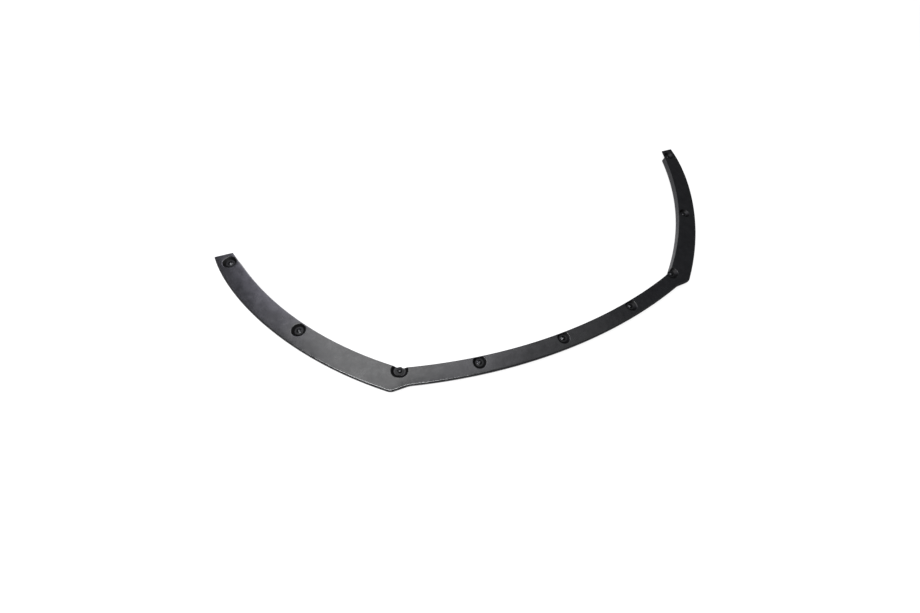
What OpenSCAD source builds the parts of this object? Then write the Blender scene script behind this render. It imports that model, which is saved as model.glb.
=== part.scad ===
// Front splitter lip for a car bumper. It lies with its road side up, on the ends of its screws.
// The front edge faces -Y, the wings sweep back towards +Y, and the lip is the same left and right.

/* [Overall] */
// Width over both wing tips
lip_w = 1706; // [1600:2:1800]
// Depth from the front edge to the wing tips
lip_d = 600; // [560:2:640]

/* [Front edge] */
// Radius of the bowed front edge
nose_r = 1763; // [1500:1:2200]
// Half the width of the bowed front edge
nose_half_w = 442; // [425:1:455]
// Radius of the hollow bend beside each corner
bend_r = 60; // [30:1:90]
// Length of the short run from the bend to the corner
step_l = 49; // [40:1:56]
// Heading of the short run, measured from the car's width
step_lead = 1.5; // [0:0.5:5]
// Radius of the rounded corner
corner_r = 28; // [20:1:50]

/* [Wings] */
// Heading of the front edge as it leaves the corner
wing_lead = 38.7; // [34:0.1:42]
// Heading of the front edge at the tip
tip_lead = 83; // [78:0.5:88]
// Reach of the wing curve's first handle, as a share of the wing's chord
wing_start_share = 0.45; // [0.3:0.01:0.5]
// Reach of the wing curve's last handle, as a share of the wing's chord
wing_end_share = 0.21; // [0.15:0.01:0.35]

/* [Inner edge] */
// Depth of the blade across the bowed front
blade_w = 48; // [44:1:56]
// Width of the wing's cut end
tip_w = 50; // [46:1:60]
// Half the width of the inner edge's bowed stretch
inner_half_w = 450; // [440:1:452]
// Radius of the inner corner
inner_corner_r = 31; // [15:1:45]
// Heading of the inner edge as it leaves the corner
inner_lead = 37.6; // [34:0.1:42]
// Heading of the inner edge at the tip
inner_tip_lead = 72.5; // [66:0.5:78]
// Reach of the inner curve's first handle, as a share of its chord
inner_start_share = 0.47; // [0.3:0.01:0.55]
// Reach of the inner curve's last handle, as a share of its chord
inner_end_share = 0.22; // [0.15:0.01:0.35]

/* [Moulding section] */
// Thickness of the blade's sheet
sheet_t = 3; // [2.5:0.1:4]
// Height of the inner wall, from its foot to the road-side face
wall_h = 18; // [15:0.5:20]
// Thickness of the inner wall where it joins the sheet
wall_t = 2.5; // [2:0.1:3.5]
// Height of the turned-down front edge
skirt_h = 9.5; // [8:0.5:10.5]
// Thickness of the turned-down edge where it joins the sheet
skirt_t = 3; // [2.5:0.1:4]
// Thickness that both walls lose towards their feet, so that the moulding leaves its tool
draft = 0.5; // [0.1:0.1:0.8]
// Radius of the front edge's round
edge_r = 5; // [4.5:0.1:6]
// Radius of the round along the inner edge
rim_r = 1.2; // [0.8:0.1:1.6]
// Radius inside the corners, under the sheet
root_r = 2; // [1:0.1:2.4]
// Length of wing tip that has no inner wall
wall_stop = 32; // [20:1:45]

/* [Pockets] */
// Radius of a screw pocket
pocket_r = 18; // [17.5:0.1:18]
// Depth of a screw pocket
pocket_depth = 8; // [7:0.1:11]
// Thickness of a pocket's floor
floor_t = 3; // [2:0.1:3.5]
// Thickness of a pocket's side
cup_t = 2.2; // [1.5:0.1:3]
// Radius of a pocket's flat floor, where its sloping side starts
seat_r = 11.8; // [11.2:0.1:12.2]
// Width of the bevel round a pocket's mouth
mouth_bevel = 1.1; // [0.5:0.1:1.5]
// Radius of the boss under a pocket, which the screw clamps against the bumper
boss_r = 6.5; // [5:0.1:8]
// Gap between the bosses' ends and the level of the inner wall's foot
boss_gap = 0.5; // [0:0.1:2]
// Radius of the screw hole in a pocket's floor
hole_r = 3.3; // [3.1:0.05:3.6]
// Distance between neighbouring screws along the bowed front
row_pitch = 255; // [220:1:270]
// Distance from a front screw to the inner edge
row_inset = 15; // [14:0.5:19]
// Distance from a wing screw to the inner edge
wing_inset = 20.6; // [20.6:0.1:24]
// Distance from the corner screw to the inner corner, towards the front
corner_inset = 7; // [5:0.5:14]
// Distance of the corner screw past the inner corner, along the edge
corner_shift = 0.5; // [0:0.5:8]
// Reach of a corner pocket's round ends to each side of its screw, along the edge
corner_stretch = 4; // [2:0.5:6]
// Place of the middle screw along a wing's inner curve
wing_screw_share = 0.38; // [0.3:0.01:0.5]
// Distance from the tip screw to the wing's cut end
tip_screw_gap = 30; // [24:0.5:40]

/* [Ribs] */
// Height of the cross ribs under the sheet
rib_h = 5; // [2:0.5:5]
// Thickness of the cross ribs
rib_t = 2; // [1.5:0.1:3]

/* [Screws] */
// Radius of the screw's thread
shank_r = 3; // [2.8:0.05:3.05]
// Radius of the plain neck between the thread and the head
neck_r = 2.65; // [2.3:0.05:2.7]
// Length of the neck past the boss, before the thread starts
neck_past = 0.55; // [0.3:0.05:1]
// Length of the screw under its head
screw_l = 20; // [18:0.5:25]
// Radius of the collar under the screw's head
collar_r = 6.8; // [6:0.1:7.5]
// Thickness of the collar at its rim
collar_rim_t = 0.8; // [0.5:0.1:1]
// Height at which the collar's slope meets the dome
collar_h = 1.2; // [1.1:0.1:1.5]
// Radius of the dome where it rises from the collar
head_r = 4.75; // [4.5:0.05:5.2]
// Height of the screw's head
head_h = 3.3; // [2.8:0.1:4]
// Bevel at the shank's end
shank_bevel = 0.8; // [0.4:0.1:1.2]
// Width of the hexagon socket across its flats
socket_w = 4; // [3:0.1:5]
// Depth of the hexagon socket
socket_depth = 2.1; // [1.5:0.1:2.4]

/* [Washers] */
// Radius of the washer
washer_r = 11; // [8:0.1:11]
// Thickness of the washer
washer_t = 1.6; // [1:0.1:2]
// Clearance between the shank and the washer's hole
washer_gap = 0.2; // [0.1:0.05:0.4]

/* [Hidden] */

// Steps along each stretch of the outline, and round the moulded edges
nose_steps = 16;
bend_steps = 5;
corner_steps = 8;
wing_steps = 26;
round_steps = 5;
root_steps = 2;
// Turns of a full circle
pocket_fn = 72;
screw_fn = 36;
// Overrun of every cut
over = 1;
// Halvings of the search for the tip screw
halvings = 20;
// Turns of the hexagon socket
socket_fn = 6;
// Drop of a pocket's mouth, as a share of its width
drop_share = 0.45;
// The steeper of the mouth's two facets, as shares of the mouth's width and drop
steep_w_share = 0.45;
steep_drop_share = 0.68;
// Reach of the ribs into the sheet, as a share of its thickness
rib_sink_share = 0.25;
// Ribs, as shares along the bowed front and along each wing
nose_rib_shares = [0.19, 0.38, 0.76, 0.92];
wing_rib_shares = [0.02, 0.13, 0.25, 0.49, 0.6, 0.71, 0.82];

// Heights: the screw ends stand on zero, and the inner wall's foot is above them
floor_under = wall_h - pocket_depth - floor_t;
foot_z = screw_l - washer_t - floor_t - floor_under;
top_z = foot_z + wall_h;
seat_z = top_z - pocket_depth;
floor_z = seat_z - floor_t;
head_z = seat_z + washer_t;
boss_z = foot_z + boss_gap;
neck_l = head_z - boss_z + neck_past;

// Plan of the right half, with the front of the lip at zero
half_w = lip_w / 2;
nose_c = [0, nose_r];
inner_r = nose_r - blade_w;
nose_turn = asin(nose_half_w / nose_r);
inner_turn = asin(inner_half_w / inner_r);
bend_p = nose_at(nose_turn, nose_r) + tangent(bend_r, nose_turn, step_lead) * heading(nose_turn);
corner_p = bend_p + step_l * heading(step_lead);
inner_bend = tangent(inner_corner_r, inner_turn, inner_lead);
inner_p = nose_at(inner_turn, inner_r) + inner_bend * heading(inner_turn);
outer_wing = handles(
    corner_p + tangent(corner_r, step_lead, wing_lead) * heading(wing_lead),
    wing_lead, wing_start_share,
    [half_w, lip_d], tip_lead, wing_end_share);
inner_wing = handles(
    inner_p + inner_bend * heading(inner_lead),
    inner_lead, inner_start_share,
    [half_w - tip_w, lip_d], inner_tip_lead, inner_end_share);

// Directions: the heading, and the side to its left, which is the inside of the lip
function heading(a) = [cos(a), sin(a)];
function inward(a) = [-sin(a), cos(a)];
function nose_at(a, r) = nose_c - r * inward(a);

// A rounded corner at point v, from heading a to heading b
function tangent(r, a, b) = r * tan(abs(b - a) / 2);
function rounded(v, a, b, r, steps) =
    let (s = sign(b - a), c = v - tangent(r, a, b) * heading(a) + s * r * inward(a))
    [for (k = [0:steps]) c - s * r * inward(a + (b - a) * k / steps)];

// A smooth curve between two points, each with its own heading
function handles(p, a, p_share, q, b, q_share) =
    let (chord = norm(q - p)) [p, p + chord * p_share * heading(a), q - chord * q_share * heading(b), q];
function curve(c, t) =
    let (s = 1 - t) s * s * s * c[0] + 3 * s * s * t * c[1] + 3 * s * t * t * c[2] + t * t * t * c[3];
function curve_heading(c, t) =
    let (s = 1 - t, d = s * s * (c[1] - c[0]) + 2 * s * t * (c[2] - c[1]) + t * t * (c[3] - c[2]))
    atan2(d.y, d.x);

// Pairs of points, outer and inner, that the moulding's section joins
function nose_pair(share) = [nose_at(nose_turn * share, nose_r), nose_at(inner_turn * share, inner_r)];
function wing_pair(t) = [curve(outer_wing, t), curve(inner_wing, t)];
function corner_pairs() =
    let (
        outer = concat(
            rounded(bend_p, nose_turn, step_lead, bend_r, bend_steps),
            rounded(corner_p, step_lead, wing_lead, corner_r, corner_steps)),
        inner = rounded(inner_p, inner_turn, inner_lead, inner_corner_r, len(outer) - 1)
    )
    [for (k = [0:len(outer) - 1]) [outer[k], inner[k]]];
right_pairs = concat(
    [for (k = [1:nose_steps - 1]) nose_pair(k / nose_steps)],
    corner_pairs(),
    [for (k = [1:wing_steps]) wing_pair(k / wing_steps)]);
function flipped(pair) = [for (p = pair) [-p.x, p.y]];
all_pairs = concat(
    [for (k = [len(right_pairs) - 1:-1:0]) flipped(right_pairs[k])],
    [nose_pair(0)],
    right_pairs);

// A point on the line from a pair's outer point to its inner point
function across(pair, u) = pair[0] + u * (pair[1] - pair[0]) / norm(pair[1] - pair[0]);
function arc(c, r, a, b, steps) = [for (k = [0:steps]) c + r * heading(a + (b - a) * k / steps)];

// The moulding's section for a blade of width w: distance from the front edge, and height
function section(w) = concat(
    [[0, top_z - skirt_h]],
    arc([edge_r, top_z - edge_r], edge_r, 180, 90, round_steps),
    arc([w - rim_r, top_z - rim_r], rim_r, 90, 0, root_steps),
    [[w, foot_z], [w - wall_t + draft, foot_z]],
    arc([w - wall_t - root_r, top_z - sheet_t - root_r], root_r, 0, 90, root_steps),
    arc([skirt_t + root_r, top_z - sheet_t - root_r], root_r, 90, 180, root_steps),
    [[skirt_t - draft, top_z - skirt_h]]);

// Screws: place, heading of the inner edge, distance to it, and stretch of the pocket
row_turn = row_pitch / (inner_r + row_inset) * 180 / PI;
corner_a = (inner_turn + inner_lead) / 2;
corner_screw = inner_p - corner_inset * inward(corner_a) + corner_shift * heading(corner_a);
tip_screw_share = share_at(lip_d - tip_screw_gap, 0, 1, halvings);
function wing_screw(t) = curve(inner_wing, t) - wing_inset * inward(curve_heading(inner_wing, t));
function share_at(y, low, high, turns) =
    let (mid = (low + high) / 2)
    turns == 0 ? mid
    : wing_screw(mid).y < y ? share_at(y, mid, high, turns - 1)
    : share_at(y, low, mid, turns - 1);
function wing_place(t) = [wing_screw(t), curve_heading(inner_wing, t), wing_inset, 0];
right_places = [
    [nose_at(row_turn, inner_r + row_inset), row_turn, row_inset, 0],
    [corner_screw, corner_a, 0, corner_stretch],
    wing_place(wing_screw_share),
    wing_place(tip_screw_share)];
screw_places = concat(
    [[nose_at(0, inner_r + row_inset), 0, row_inset, 0]],
    right_places,
    [for (p = right_places) [[-p[0].x, p[0].y], -p[1], p[2], p[3]]]);

// Everything is drawn from the front edge back, and the origin is under the middle of the whole part
module placed() translate([0, -lip_d / 2]) children();

module at_screws() for (p = screw_places) translate(p[0]) rotate(p[1]) children();

// The channel-shaped moulding, swept along the pairs
module channel() {
    n = len(section(blade_w));
    rings = len(all_pairs);
    points = [for (pair = all_pairs, s = section(norm(pair[1] - pair[0]))) concat(across(pair, s.x), s.y)];
    sides = [for (i = [0:rings - 2], j = [0:n - 1]) [
        i * n + j, i * n + (j + 1) % n, (i + 1) * n + (j + 1) % n, (i + 1) * n + j]];
    first_end = [[for (j = [n - 1:-1:0]) j]];
    last_end = [[for (j = [0:n - 1]) (rings - 1) * n + j]];
    polyhedron(points, concat(sides, first_end, last_end), convexity = 12);
}

// The stretch at each tip where the inner wall is left off
module wall_ends() {
    for (s = [-1, 1])
        translate([s * (half_w - tip_w) - tip_w / 2, lip_d - wall_stop, foot_z - over])
            cube([tip_w, wall_stop + over, wall_h - sheet_t + over]);
}

// The plan that all under the sheet is kept inside, halfway into the turned-down edge and the inner wall
module inside_plan() {
    inner_side = [for (pair = all_pairs) across(pair, norm(pair[1] - pair[0]) - wall_t / 2)];
    polygon(concat(
        [for (pair = all_pairs) across(pair, skirt_t / 2)],
        [for (k = [len(inner_side) - 1:-1:0]) inner_side[k]]));
}

// The cups, which follow the pockets' sloping sides, and the bosses under them
module cups() {
    for (p = screw_places)
        translate([p[0].x, p[0].y, floor_z]) rotate(p[1]) {
            stretched([
                [0, 0], [seat_r, 0], [pocket_r + cup_t, pocket_depth],
                [pocket_r + cup_t, wall_h], [0, wall_h]], p[3]);
            translate([0, 0, foot_z - floor_z])
                cylinder(r = boss_r, h = seat_z - foot_z - over, $fn = pocket_fn);
        }
}

// Half an outline, turned about its axis, or stretched to both sides
module stretched(half, stretch) {
    for (s = stretch > 0 ? [-1, 1] : [0])
        translate([s * stretch, 0, 0]) rotate_extrude($fn = pocket_fn) polygon(half);
    if (stretch > 0)
        rotate([90, 0, 90]) linear_extrude(2 * stretch, center = true)
            for (side = [0, 1]) mirror([side, 0]) polygon(half);
}

// One pocket: flat floor, sloping side and bevelled mouth. Beside the inner edge it stops at the wall.
module pocket(inset, stretch) {
    reach = 2 * pocket_r;
    stop = inset > 0 ? inset - wall_t : reach;
    drop = mouth_bevel * drop_share;
    slack_w = mouth_bevel * (1 - steep_w_share);
    slack_drop = drop * (1 - steep_drop_share);
    half = [
        [0, 0],
        [seat_r, 0],
        [pocket_r, pocket_depth - drop],
        [pocket_r + mouth_bevel - slack_w, pocket_depth - slack_drop],
        [pocket_r + mouth_bevel + over * slack_w / slack_drop, pocket_depth + over],
        [0, pocket_depth + over]];
    intersection() {
        stretched(half, stretch);
        translate([-reach, -reach, -over]) cube([2 * reach, reach + stop, pocket_depth + 3 * over]);
    }
}

module pockets() {
    for (p = screw_places) translate([p[0].x, p[0].y, seat_z]) rotate(p[1]) pocket(p[2], p[3]);
}

module rib(pair) {
    span = pair[1] - pair[0];
    translate([pair[0].x, pair[0].y, top_z - sheet_t - rib_h])
        rotate(atan2(span.y, span.x))
            translate([0, -rib_t / 2]) cube([norm(span), rib_t, rib_h + sheet_t * rib_sink_share]);
}

module ribs() {
    pairs = concat([for (s = nose_rib_shares) nose_pair(s)], [for (t = wing_rib_shares) wing_pair(t)]);
    for (pair = pairs) {
        rib(pair);
        rib(flipped(pair));
    }
}

module splitter_lip() {
    color([0.13, 0.13, 0.14]) placed() difference() {
        union() {
            difference() {
                channel();
                wall_ends();
            }
            intersection() {
                translate([0, 0, boss_z]) linear_extrude(top_z - sheet_t / 2 - boss_z) inside_plan();
                union() {
                    cups();
                    ribs();
                }
            }
        }
        pockets();
        translate([0, 0, foot_z - over]) at_screws()
            cylinder(r = hole_r, h = seat_z - foot_z + 2 * over, $fn = screw_fn);
    }
}

module washer() {
    difference() {
        cylinder(r = washer_r, h = washer_t, $fn = screw_fn);
        translate([0, 0, -over])
            cylinder(r = shank_r + washer_gap, h = washer_t + 2 * over, $fn = screw_fn);
    }
}

module washers() {
    color([0.2, 0.2, 0.21]) placed() translate([0, 0, seat_z]) at_screws() washer();
}

// Half the outline of a screw, turned about its axis: bevelled end, thread, neck, collar and dome
module screw_half() {
    dome_h = head_h - collar_h;
    dome_r = (head_r * head_r + dome_h * dome_h) / (2 * dome_h);
    dome_a = asin(head_r / dome_r);
    dome = [for (k = [0:round_steps]) let (a = dome_a * (1 - k / round_steps))
        [dome_r * sin(a), head_h - dome_r * (1 - cos(a))]];
    polygon(concat(
        [[0, -screw_l], [shank_r - shank_bevel, -screw_l], [shank_r, shank_bevel - screw_l]],
        [[shank_r, neck_r - shank_r - neck_l], [neck_r, -neck_l], [neck_r, 0]],
        [[collar_r, 0], [collar_r, collar_rim_t]],
        dome));
}

module screw() {
    difference() {
        rotate_extrude($fn = screw_fn) screw_half();
        translate([0, 0, head_h - socket_depth])
            cylinder(d = socket_w / cos(180 / socket_fn), h = socket_depth + over, $fn = socket_fn);
    }
}

module screws() {
    color([0.22, 0.22, 0.23]) placed() translate([0, 0, head_z]) at_screws() screw();
}

splitter_lip();
washers();
screws();
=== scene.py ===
import math
import random

import bmesh
import bpy
from mathutils import Matrix, Vector


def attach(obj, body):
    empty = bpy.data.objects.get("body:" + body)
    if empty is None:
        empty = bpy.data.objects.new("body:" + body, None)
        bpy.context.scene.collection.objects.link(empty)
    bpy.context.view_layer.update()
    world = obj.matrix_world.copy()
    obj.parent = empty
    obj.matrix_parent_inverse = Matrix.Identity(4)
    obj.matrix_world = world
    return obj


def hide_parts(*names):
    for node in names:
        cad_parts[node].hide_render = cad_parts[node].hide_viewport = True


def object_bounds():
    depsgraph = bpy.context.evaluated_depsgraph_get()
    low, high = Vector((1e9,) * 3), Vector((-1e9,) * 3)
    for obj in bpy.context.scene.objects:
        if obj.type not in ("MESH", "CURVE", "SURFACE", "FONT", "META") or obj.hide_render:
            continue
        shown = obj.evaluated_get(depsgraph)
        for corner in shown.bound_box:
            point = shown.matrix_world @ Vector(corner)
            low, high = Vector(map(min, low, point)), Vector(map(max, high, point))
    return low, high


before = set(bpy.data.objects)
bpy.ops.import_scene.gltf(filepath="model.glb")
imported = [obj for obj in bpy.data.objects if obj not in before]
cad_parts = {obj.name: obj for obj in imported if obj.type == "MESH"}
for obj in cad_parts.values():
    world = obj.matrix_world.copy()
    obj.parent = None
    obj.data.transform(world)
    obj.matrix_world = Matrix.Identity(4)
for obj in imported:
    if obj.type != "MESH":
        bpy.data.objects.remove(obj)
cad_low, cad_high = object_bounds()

MM = 0.001
scene = bpy.context.scene
scene.view_settings.view_transform = "Standard"

# The screw in millimetres, from its seat: the sizes of its CAD solid, then the thread's own
SCREW_L = 20.0
HEAD_R = 4.75
HEAD_H = 3.3
COLLAR_R = 6.8
COLLAR_H = 1.2
COLLAR_RIM_T = 0.8
SOCKET_W = 4.0
SOCKET_DEPTH = 2.1
SHANK_R = 3.0
SHANK_BEVEL = 0.8
NECK_R = 2.65
NECK_L = 11.65
PITCH = 1.0
THREAD_DEPTH = 0.55

# The washer in millimetres
WASHER_R = 11.0
WASHER_T = 1.6
WASHER_HOLE_R = 3.2

# What the solids leave out, in millimetres: small rounds, and the drill's cone in the socket
RIM_ROUND = 0.25
SOCKET_ROUND = 0.1
WASHER_ROUND = 0.3
DRILL_POINT = 0.5

# Sides of what is turned
HEAD_SIDES = 56
SHANK_SIDES = 30
WASHER_SIDES = 72

# A pocket lies within this distance of its screw and below this depth, in millimetres
POCKET_REACH = 24.0
POCKET_START = 0.5
# Points nearer than this belong to the same screw or washer, in millimetres
SAME_SOLID = 30.0

# The plastic's bumps and the radius at which its edges are shaded, in millimetres
EDGE_SHADING_R = 2.5
WAVE_DEPTH = 1.0
GRAIN_DEPTH = 0.009
COAT_GRAIN_DEPTH = 0.01

# Colours
BLACK = (0.0085, 0.0088, 0.0100, 1)
FADED_BLACK = (0.0125, 0.0130, 0.0145, 1)
# Paler grey for the painted highlight along the outer edge
EDGE_HIGHLIGHT_GREY = (0.095, 0.095, 0.097, 1)
# Metallic grey for the painted shade in the pockets
POCKET_SHADE_GREY = (0.026, 0.026, 0.027, 1)
SCREW_GREY = (0.040, 0.041, 0.043, 1)
PALE_SCREW_GREY = (0.065, 0.066, 0.069, 1)
WASHER_BLACK = (0.008, 0.0083, 0.009, 1)
PALE_WASHER_BLACK = (0.014, 0.0143, 0.0155, 1)
WHITE = (1, 1, 1, 1)


# Materials
class Nodes:
    """A material's node tree, with short calls for the nodes used here."""

    def __init__(self, name):
        self.material = bpy.data.materials.new(name)
        self.material.use_nodes = True
        self.tree = self.material.node_tree
        self.shader = self.tree.nodes["Principled BSDF"]
        self.point = self.add("ShaderNodeTexCoord").outputs["Object"]

    def add(self, kind, inputs=(), **settings):
        node = self.tree.nodes.new(kind)
        for key, value in settings.items():
            setattr(node, key, value)
        for key, value in dict(inputs).items():
            self.join(value, node.inputs[key])
        return node

    def join(self, value, socket):
        if isinstance(value, bpy.types.NodeSocket):
            self.tree.links.new(value, socket)
        else:
            socket.default_value = value

    def noise(self, per_metre, detail, rough):
        inputs = {"Vector": self.point, "Scale": per_metre, "Detail": detail, "Roughness": rough}
        return self.add("ShaderNodeTexNoise", inputs).outputs["Fac"]

    def ramp(self, value, low, high, at=(0.3, 0.7)):
        """From low to high, as the value goes over the stretch that at gives."""
        inputs = {"Value": value, "From Min": at[0], "From Max": at[1], "To Min": low, "To Max": high}
        return self.add("ShaderNodeMapRange", inputs).outputs[0]

    def around(self, value, middle, spread):
        """The middle, less the spread where the value is low and plus the spread where it is high."""
        return self.ramp(value, middle - spread, middle + spread)

    def mix(self, share, a, b):
        node = self.add("ShaderNodeMix", {"Factor": share}, data_type="RGBA")
        self.join(a, node.inputs[6])
        self.join(b, node.inputs[7])
        return node.outputs[2]

    def bump(self, height, depth, normal=None):
        inputs = {"Height": height, "Strength": 1.0, "Distance": depth}
        if normal is not None:
            inputs["Normal"] = normal
        return self.add("ShaderNodeBump", inputs).outputs[0]

    def math(self, operation, a, b, c=0.0):
        return self.add("ShaderNodeMath", {0: a, 1: b, 2: c}, operation=operation).outputs[0]

    def vector(self, operation, a, b, output="Vector"):
        return self.add("ShaderNodeVectorMath", {0: a, 1: b}, operation=operation).outputs[output]

    def upward(self, vector):
        return self.add("ShaderNodeSeparateXYZ", {0: vector}).outputs["Z"]

    def set(self, name, value):
        self.join(value, self.shader.inputs[name])


def from_screws(n, spots):
    """The distance in plan to the nearest screw, up to a metre."""
    nearest = 1.0
    flat = n.vector("MULTIPLY", n.point, (1, 1, 0))
    for spot in spots:
        away = n.vector("DISTANCE", flat, (spot.x, spot.y, 0), "Value")
        nearest = n.math("MINIMUM", away, nearest)
    return nearest


def in_pockets(n, nearest):
    """One on the pockets' floors and sloping sides, nought elsewhere."""
    steepest = 0.3
    normal = n.add("ShaderNodeNewGeometry").outputs["True Normal"]
    low = n.math("LESS_THAN", n.upward(n.point), cad_high.z - POCKET_START * MM)
    near = n.math("LESS_THAN", nearest, POCKET_REACH * MM)
    faces_up = n.math("GREATER_THAN", n.upward(normal), steepest)
    return n.math("MULTIPLY", n.math("MULTIPLY", low, near), faces_up)


def on_outer_edge(n, nearest, rounded):
    """Two shares: the turn into the outer edge, where a highlight is painted in, and the edge's
    side, which the mould has left matt. Both are nought near the pockets."""
    # Every outer edge faces away from this point, and every inner edge towards it
    behind_lip = (0.0, 0.4, cad_high.z)
    outward = n.vector("SUBTRACT", n.point, behind_lip)
    faces_out = n.math("GREATER_THAN", n.vector("DOT_PRODUCT", rounded, outward, "Value"), 0.0)
    outer = n.math("MULTIPLY", faces_out, n.math("GREATER_THAN", nearest, POCKET_REACH * MM))
    upright = n.upward(rounded)
    past_top = n.ramp(upright, 1.0, 0.0, at=(0.9965, 0.9995))
    before_side = n.ramp(upright, 0.0, 1.0, at=(0.93, 0.975))
    turn = n.math("MULTIPLY", past_top, before_side)
    side = n.ramp(upright, 1.0, 0.0, at=(0.35, 0.80))
    return n.math("MULTIPLY", turn, outer), n.math("MULTIPLY", side, outer)


def plastic(spots):
    """Satin black plastic, patchy, rougher in the pockets; painted shade there, a painted edge highlight.
    """
    n = Nodes("satin_black_plastic")
    clouds = n.noise(per_metre=7.0, detail=3.0, rough=0.55)
    waves = n.noise(per_metre=16.0, detail=2.0, rough=0.5)
    patches = n.noise(per_metre=60.0, detail=4.0, rough=0.6)
    mottles = n.noise(per_metre=190.0, detail=3.0, rough=0.6)
    grain = n.noise(per_metre=1500.0, detail=3.0, rough=0.6)
    rounded = n.add("ShaderNodeBevel", {"Radius": EDGE_SHADING_R * MM}, samples=8).outputs[0]
    nearest = from_screws(n, spots)
    pocket = in_pockets(n, nearest)
    turn, matt = on_outer_edge(n, nearest, rounded)
    # Painted highlight: the turn into the outer edge is made paler and metallic, patchy along its length
    painted_edge_highlight = n.math("MULTIPLY", turn, n.ramp(patches, 0.6, 1.0))

    colour = n.mix(n.ramp(patches, 0.0, 1.0), BLACK, FADED_BLACK)
    colour = n.mix(painted_edge_highlight, colour, EDGE_HIGHLIGHT_GREY)
    # Painted shade: the pockets' floors and sides take a metallic grey that reflects less than the plastic
    n.set("Base Color", n.mix(pocket, colour, POCKET_SHADE_GREY))
    # Metallic carries both the painted pocket shade and the painted edge highlight
    n.set("Metallic", n.math("MAXIMUM", pocket, painted_edge_highlight))

    rough = n.math("ADD", n.around(clouds, 0.25, 0.015), n.around(patches, 0.0, 0.015))
    rough = n.math("ADD", rough, n.around(grain, 0.0, 0.02))
    rougher_in_pockets = 0.28
    n.set("Roughness", n.math("MULTIPLY_ADD", pocket, rougher_in_pockets, rough))

    shine = n.math("ADD", n.around(patches, 0.49, 0.06), n.around(mottles, 0.0, 0.04))
    less_on_matt_side = -0.38
    n.set("Specular IOR Level", n.math("MULTIPLY_ADD", matt, less_on_matt_side, shine))

    wavy = n.bump(waves, WAVE_DEPTH * MM, rounded)
    n.set("Normal", n.bump(grain, GRAIN_DEPTH * MM, wavy))
    return n.material


def coated_steel(name, dark, pale, rough, metal, shine):
    n = Nodes(name)
    patches = n.noise(per_metre=900.0, detail=4.0, rough=0.6)
    grain = n.noise(per_metre=5000.0, detail=3.0, rough=0.6)
    n.set("Base Color", n.mix(n.ramp(patches, 0.0, 1.0), dark, pale))
    n.set("Metallic", metal)
    n.set("Specular IOR Level", shine)
    n.set("Roughness", n.around(patches, rough, 0.06))
    n.set("Normal", n.bump(grain, COAT_GRAIN_DEPTH * MM))
    return n.material


screw_coat = coated_steel("black_screw_coat", SCREW_GREY, PALE_SCREW_GREY, rough=0.30, metal=1.0, shine=0.5)
washer_coat = coated_steel(
    "black_washer_coat", WASHER_BLACK, PALE_WASHER_BLACK, rough=0.50, metal=0.0, shine=0.14)


# Places
def solids_of(node):
    """The middle in plan and the lowest point of each solid in a node, from left to right."""
    groups = []
    for v in node.data.vertices:
        for place, points in groups:
            if (v.co.xy - place).length < SAME_SOLID * MM:
                points.append(v.co.copy())
                break
        else:
            groups.append((v.co.xy.copy(), [v.co.copy()]))
    spots = []
    for _, points in groups:
        low = Vector(map(min, *points))
        high = Vector(map(max, *points))
        spots.append(Vector(((low.x + high.x) / 2, (low.y + high.y) / 2, low.z)))
    return sorted(spots, key=lambda spot: spot.x)


screw_spots = [spot + Vector((0, 0, SCREW_L * MM)) for spot in solids_of(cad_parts["screws"])]
washer_spots = solids_of(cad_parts["washers"])


# The moulding
def smooth_group(degrees):
    """Geometry nodes that shade a mesh smoothly, except across edges sharper than this."""
    group = bpy.data.node_groups.new("smooth_below_angle", "GeometryNodeTree")
    group.interface.new_socket("Geometry", in_out="INPUT", socket_type="NodeSocketGeometry")
    group.interface.new_socket("Geometry", in_out="OUTPUT", socket_type="NodeSocketGeometry")
    start = group.nodes.new("NodeGroupInput")
    end = group.nodes.new("NodeGroupOutput")
    angle = group.nodes.new("GeometryNodeInputMeshEdgeAngle")
    below = group.nodes.new("FunctionNodeCompare")
    below.operation = "LESS_THAN"
    below.inputs["B"].default_value = math.radians(degrees)
    edges = group.nodes.new("GeometryNodeSetShadeSmooth")
    edges.domain = "EDGE"
    faces = group.nodes.new("GeometryNodeSetShadeSmooth")
    faces.domain = "FACE"
    group.links.new(angle.outputs["Unsigned Angle"], below.inputs["A"])
    group.links.new(start.outputs[0], faces.inputs["Geometry"])
    group.links.new(faces.outputs[0], edges.inputs["Geometry"])
    group.links.new(below.outputs[0], edges.inputs["Shade Smooth"])
    group.links.new(edges.outputs[0], end.inputs[0])
    return group


def dress_lip(lip):
    lip.data.materials.clear()
    lip.data.materials.append(plastic(screw_spots))
    weld = lip.modifiers.new("weld", "WELD")
    weld.merge_threshold = 0.01 * MM
    soften = lip.modifiers.new("smooth", "NODES")
    soften.node_group = smooth_group(24)
    flat = lip.modifiers.new("keep flats flat", "WEIGHTED_NORMAL")
    flat.keep_sharp = True


dress_lip(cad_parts["splitter_lip"])


# Screws and washers
def around_axis(r, z, share):
    """A point on a circle round the axis, from millimetres."""
    angle = 2 * math.pi * share
    return (r * MM * math.cos(angle), r * MM * math.sin(angle), z * MM)


def lathe(bm, profile, sides):
    """Adds a turned surface. The profile is (radius, height) pairs in millimetres. It is closed
    where the profile runs from axis to axis or ends where it started."""
    rings = []
    for r, z in profile:
        if r == 0:
            rings.append([bm.verts.new((0, 0, z * MM))])
        else:
            rings.append([bm.verts.new(around_axis(r, z, k / sides)) for k in range(sides)])
    for a, b in zip(rings, rings[1:]):
        for k in range(sides):
            j = (k + 1) % sides
            face = [a[k % len(a)], a[j % len(a)], b[j % len(b)], b[k % len(b)]]
            bm.faces.new(list(dict.fromkeys(face)))


def merge(bm):
    bmesh.ops.remove_doubles(bm, verts=bm.verts, dist=0.002 * MM)


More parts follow.
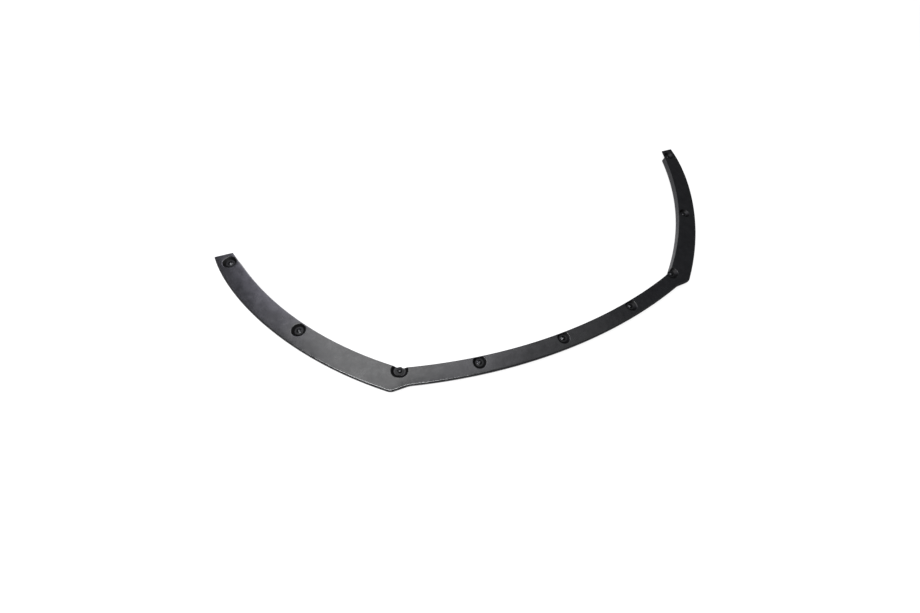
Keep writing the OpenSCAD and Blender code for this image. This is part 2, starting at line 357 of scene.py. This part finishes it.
def fresh(name, bm, material):
    bmesh.ops.recalc_face_normals(bm, faces=bm.faces)
    mesh = bpy.data.meshes.new(name)
    bm.to_mesh(mesh)
    bm.free()
    mesh.materials.append(material)
    o = bpy.data.objects.new(name, mesh)
    scene.collection.objects.link(o)
    return o


def arc_points(cx, cz, r, start, end, steps):
    """Points of an arc in a profile, between two angles in degrees."""
    angles = [math.radians(start + (end - start) * k / steps) for k in range(steps + 1)]
    return [(cx + r * math.cos(a), cz + r * math.sin(a)) for a in angles]


def head_profile():
    """The screw's head: a collar with a rounded rim under a dome."""
    under = arc_points(COLLAR_R - RIM_ROUND, RIM_ROUND, RIM_ROUND, -90, 0, 3)
    over = arc_points(COLLAR_R - RIM_ROUND, COLLAR_RIM_T - RIM_ROUND, RIM_ROUND, 0, 70, 3)
    dome_h = HEAD_H - COLLAR_H
    dome_r = (HEAD_R ** 2 + dome_h ** 2) / (2 * dome_h)
    dome_angle = math.asin(HEAD_R / dome_r)
    steps = 14
    dome = []
    for k in range(steps):
        a = dome_angle * (1 - k / steps)
        dome.append((dome_r * math.sin(a), HEAD_H - dome_r * (1 - math.cos(a))))
    return [(0, 0)] + under + over + dome + [(0, HEAD_H)]


def socket_cutter():
    """The hexagon socket, with the cone that its drill left."""
    sides = 6
    corner = SOCKET_W / 2 / math.cos(math.pi / sides)
    drill_share = 0.8
    foot_z = HEAD_H - SOCKET_DEPTH
    top_z = HEAD_H + 1
    bm = bmesh.new()
    drilled = [(0, foot_z - DRILL_POINT), (corner * drill_share, foot_z)]
    lathe(bm, drilled + [(corner, foot_z), (corner, top_z), (0, top_z)], sides)
    return fresh("socket_cutter", bm, screw_coat)


def threaded_shank(bm):
    """The thread as one helical strip, cut off by the end's bevel and the neck, and the neck."""
    sides = SHANK_SIDES
    root_r = SHANK_R - THREAD_DEPTH
    end_r = SHANK_R - SHANK_BEVEL
    corners = [(root_r, 0.0), (root_r, 0.16), (SHANK_R, 0.46), (SHANK_R, 0.60)]
    turns = int((SCREW_L - NECK_L) / PITCH + 2)
    rings = []
    for turn in range(turns):
        for corner_r, pitch_share in corners:
            ring = []
            for k in range(sides + 1):
                z = -SCREW_L - PITCH + PITCH * (turn + pitch_share + k / sides)
                z = min(max(z, -SCREW_L), -NECK_L)
                r = min(corner_r, end_r + (z + SCREW_L), NECK_R - NECK_L - z)
                ring.append(bm.verts.new(around_axis(r, z, k / sides)))
            rings.append(ring)
    for a, b in zip(rings, rings[1:]):
        for k in range(sides):
            bm.faces.new([a[k], a[k + 1], b[k + 1], b[k]])
    bm.faces.new([bm.verts.new(around_axis(end_r, -SCREW_L, k / sides)) for k in range(sides)])
    into_thread = 0.1
    into_head = 0.05
    lathe(bm, [(NECK_R, -NECK_L - into_thread), (NECK_R, into_head)], sides)
    merge(bm)


def screw_master():
    bm = bmesh.new()
    lathe(bm, head_profile(), HEAD_SIDES)
    head = fresh("screw_head", bm, screw_coat)
    cutter = socket_cutter()
    cut = head.modifiers.new("socket", "BOOLEAN")
    cut.operation = "DIFFERENCE"
    cut.object = cutter
    cut.solver = "EXACT"
    soft = head.modifiers.new("soft", "BEVEL")
    soft.width = SOCKET_ROUND * MM
    soft.segments = 2
    soft.limit_method = "ANGLE"
    soft.angle_limit = math.radians(40)
    made = bpy.data.meshes.new_from_object(head.evaluated_get(bpy.context.evaluated_depsgraph_get()))
    bm = bmesh.new()
    bm.from_mesh(made)
    threaded_shank(bm)
    for o in (head, cutter):
        bpy.data.objects.remove(o)
    return bm


def washer_master():
    r = WASHER_ROUND
    outer = WASHER_R - r
    inner = WASHER_HOLE_R + r
    top = WASHER_T - r
    ring = arc_points(outer, r, r, -90, 0, 3) + arc_points(outer, top, r, 0, 90, 3)
    ring += arc_points(inner, top, r, 90, 180, 2) + arc_points(inner, r, r, 180, 270, 2)
    bm = bmesh.new()
    lathe(bm, ring + ring[:1], WASHER_SIDES)
    merge(bm)
    return bm


def placed_copies(name, master, places, material, node, turns):
    """One piece made of a copy of the master at each place, standing for that CAD node."""
    whole = bmesh.new()
    part = bpy.data.meshes.new(name + "_part")
    master.to_mesh(part)
    master.free()
    for place, turn in zip(places, turns):
        before = len(whole.verts)
        whole.from_mesh(part)
        whole.verts.ensure_lookup_table()
        move = Matrix.Translation(place) @ Matrix.Rotation(turn, 4, "Z")
        bmesh.ops.transform(whole, matrix=move, verts=whole.verts[before:])
    made = fresh(name, whole, material)
    made.data.shade_smooth()
    made.data.set_sharp_from_angle(angle=math.radians(35))
    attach(made, "root")
    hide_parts(node)
    return made


rng = random.Random(7)
screw_turns = [rng.uniform(0, math.pi / 2) for _ in screw_spots]
screws = placed_copies("screws_threaded", screw_master(), screw_spots, screw_coat, "screws", screw_turns)

washer_turns = [0.0] * len(washer_spots)
washers = placed_copies(
    "washers_rounded", washer_master(), washer_spots, washer_coat, "washers", washer_turns)


# Floor and light, in metres and watts
FLOOR_HALF = 9.0
# What the floor gives off towards the camera, so that with its own light it comes out just white
NEAR_GLOW = 0.72
FAR_GLOW = 0.98
# The middle of the lit floor, and where the glow starts and stops growing
LIT_SPOT = (-0.45, 0.35, 0.0)
GLOW_REACH = (0.2, 2.4)
LAMP_Z = 1.65
WORLD_LIGHT = 0.07


def floor():
    bm = bmesh.new()
    bmesh.ops.create_grid(bm, x_segments=1, y_segments=1, size=FLOOR_HALF)
    n = Nodes("studio_floor")
    paper = n.noise(per_metre=40.0, detail=3.0, rough=0.5)
    pale = n.mix(n.ramp(paper, 0.0, 1.0), (0.80, 0.80, 0.80, 1), (0.82, 0.82, 0.82, 1))
    seen = n.add("ShaderNodeLightPath").outputs["Is Camera Ray"]
    n.set("Base Color", n.mix(seen, pale, (0.30, 0.30, 0.30, 1)))
    n.set("Roughness", 0.9)
    n.set("Specular IOR Level", 0.0)
    away = n.vector("DISTANCE", n.point, LIT_SPOT, "Value")
    glow = n.ramp(away, NEAR_GLOW, FAR_GLOW, at=GLOW_REACH)
    n.set("Emission Color", WHITE)
    n.set("Emission Strength", n.math("MULTIPLY", seen, glow))
    fresh("studio_floor", bm, n.material)


def softbox(name, x, y, turn, width, depth, watts, colour=(1, 1, 1)):
    """A lamp that looks straight down, turned in plan by some degrees."""
    lamp = bpy.data.lights.new(name, "AREA")
    lamp.shape = "RECTANGLE"
    lamp.size = width
    lamp.size_y = depth
    lamp.energy = watts
    lamp.color = colour
    o = bpy.data.objects.new(name, lamp)
    o.location = (x, y, LAMP_Z)
    o.rotation_euler = (0, 0, math.radians(turn))
    scene.collection.objects.link(o)


def studio_world():
    """White to the camera, and a faint fill to everything else."""
    world = bpy.data.worlds.new("studio")
    world.use_nodes = True
    scene.world = world
    tree = world.node_tree
    rays = tree.nodes.new("ShaderNodeLightPath").outputs
    strength = tree.nodes.new("ShaderNodeMapRange")
    strength.inputs["To Min"].default_value = WORLD_LIGHT
    strength.inputs["To Max"].default_value = 1.0
    backdrop = tree.nodes["Background"]
    backdrop.inputs["Color"].default_value = WHITE
    tree.links.new(rays["Is Camera Ray"], strength.inputs["Value"])
    tree.links.new(strength.outputs[0], backdrop.inputs["Strength"])


floor()
softbox("main_softbox", -0.564, 0.582, -73, 1.0, 0.96, 13.3)
softbox("back_softbox", -0.856, 1.538, -73, 1.0, 0.96, 16.5, (0.95, 0.92, 1.10))
softbox("middle_softbox", 0.0, 0.49, -64, 1.13, 0.74, 7.3, (0.98, 0.97, 1.03))
softbox("right_softbox", 0.76, 0.26, 0, 1.26, 1.0, 2.8)
softbox("wing_strip", -1.09, -0.29, -50, 1.1, 0.26, 22.0)
softbox("front_strip", -0.55, -0.52, 0, 0.7, 0.26, 11.0)
studio_world()

# The camera, as fitted to the photograph's 920 by 613 pixels: angles in degrees, its focal
# length in pixels, and its place in metres, with its height from the road side's face
AZIMUTH = math.radians(-32.883)
ELEVATION = math.radians(63.962)
ROLL = math.radians(12.244)
FOCAL_PX = 319.84
FRAME_PX = 920
SENSOR = 36.0
CAMERA_X = -0.4624
CAMERA_Y = -0.4176
CAMERA_ABOVE = 0.8261


def photo_camera():
    flat = math.cos(ELEVATION)
    back = Vector((math.sin(AZIMUTH) * flat, -math.cos(AZIMUTH) * flat, math.sin(ELEVATION)))
    right = Vector((math.cos(AZIMUTH), math.sin(AZIMUTH), 0))
    up = back.cross(right)
    side = right * math.cos(ROLL) + up * math.sin(ROLL)
    upright = up * math.cos(ROLL) - right * math.sin(ROLL)
    data = bpy.data.cameras.new("camera")
    data.sensor_width = SENSOR
    data.lens = SENSOR * FOCAL_PX / FRAME_PX
    camera = bpy.data.objects.new("camera", data)
    camera.matrix_world = Matrix((
        (side.x, upright.x, back.x, CAMERA_X),
        (side.y, upright.y, back.y, CAMERA_Y),
        (side.z, upright.z, back.z, CAMERA_ABOVE + cad_high.z),
        (0, 0, 0, 1)))
    scene.collection.objects.link(camera)
    return camera


bpy.context.scene.camera = photo_camera()
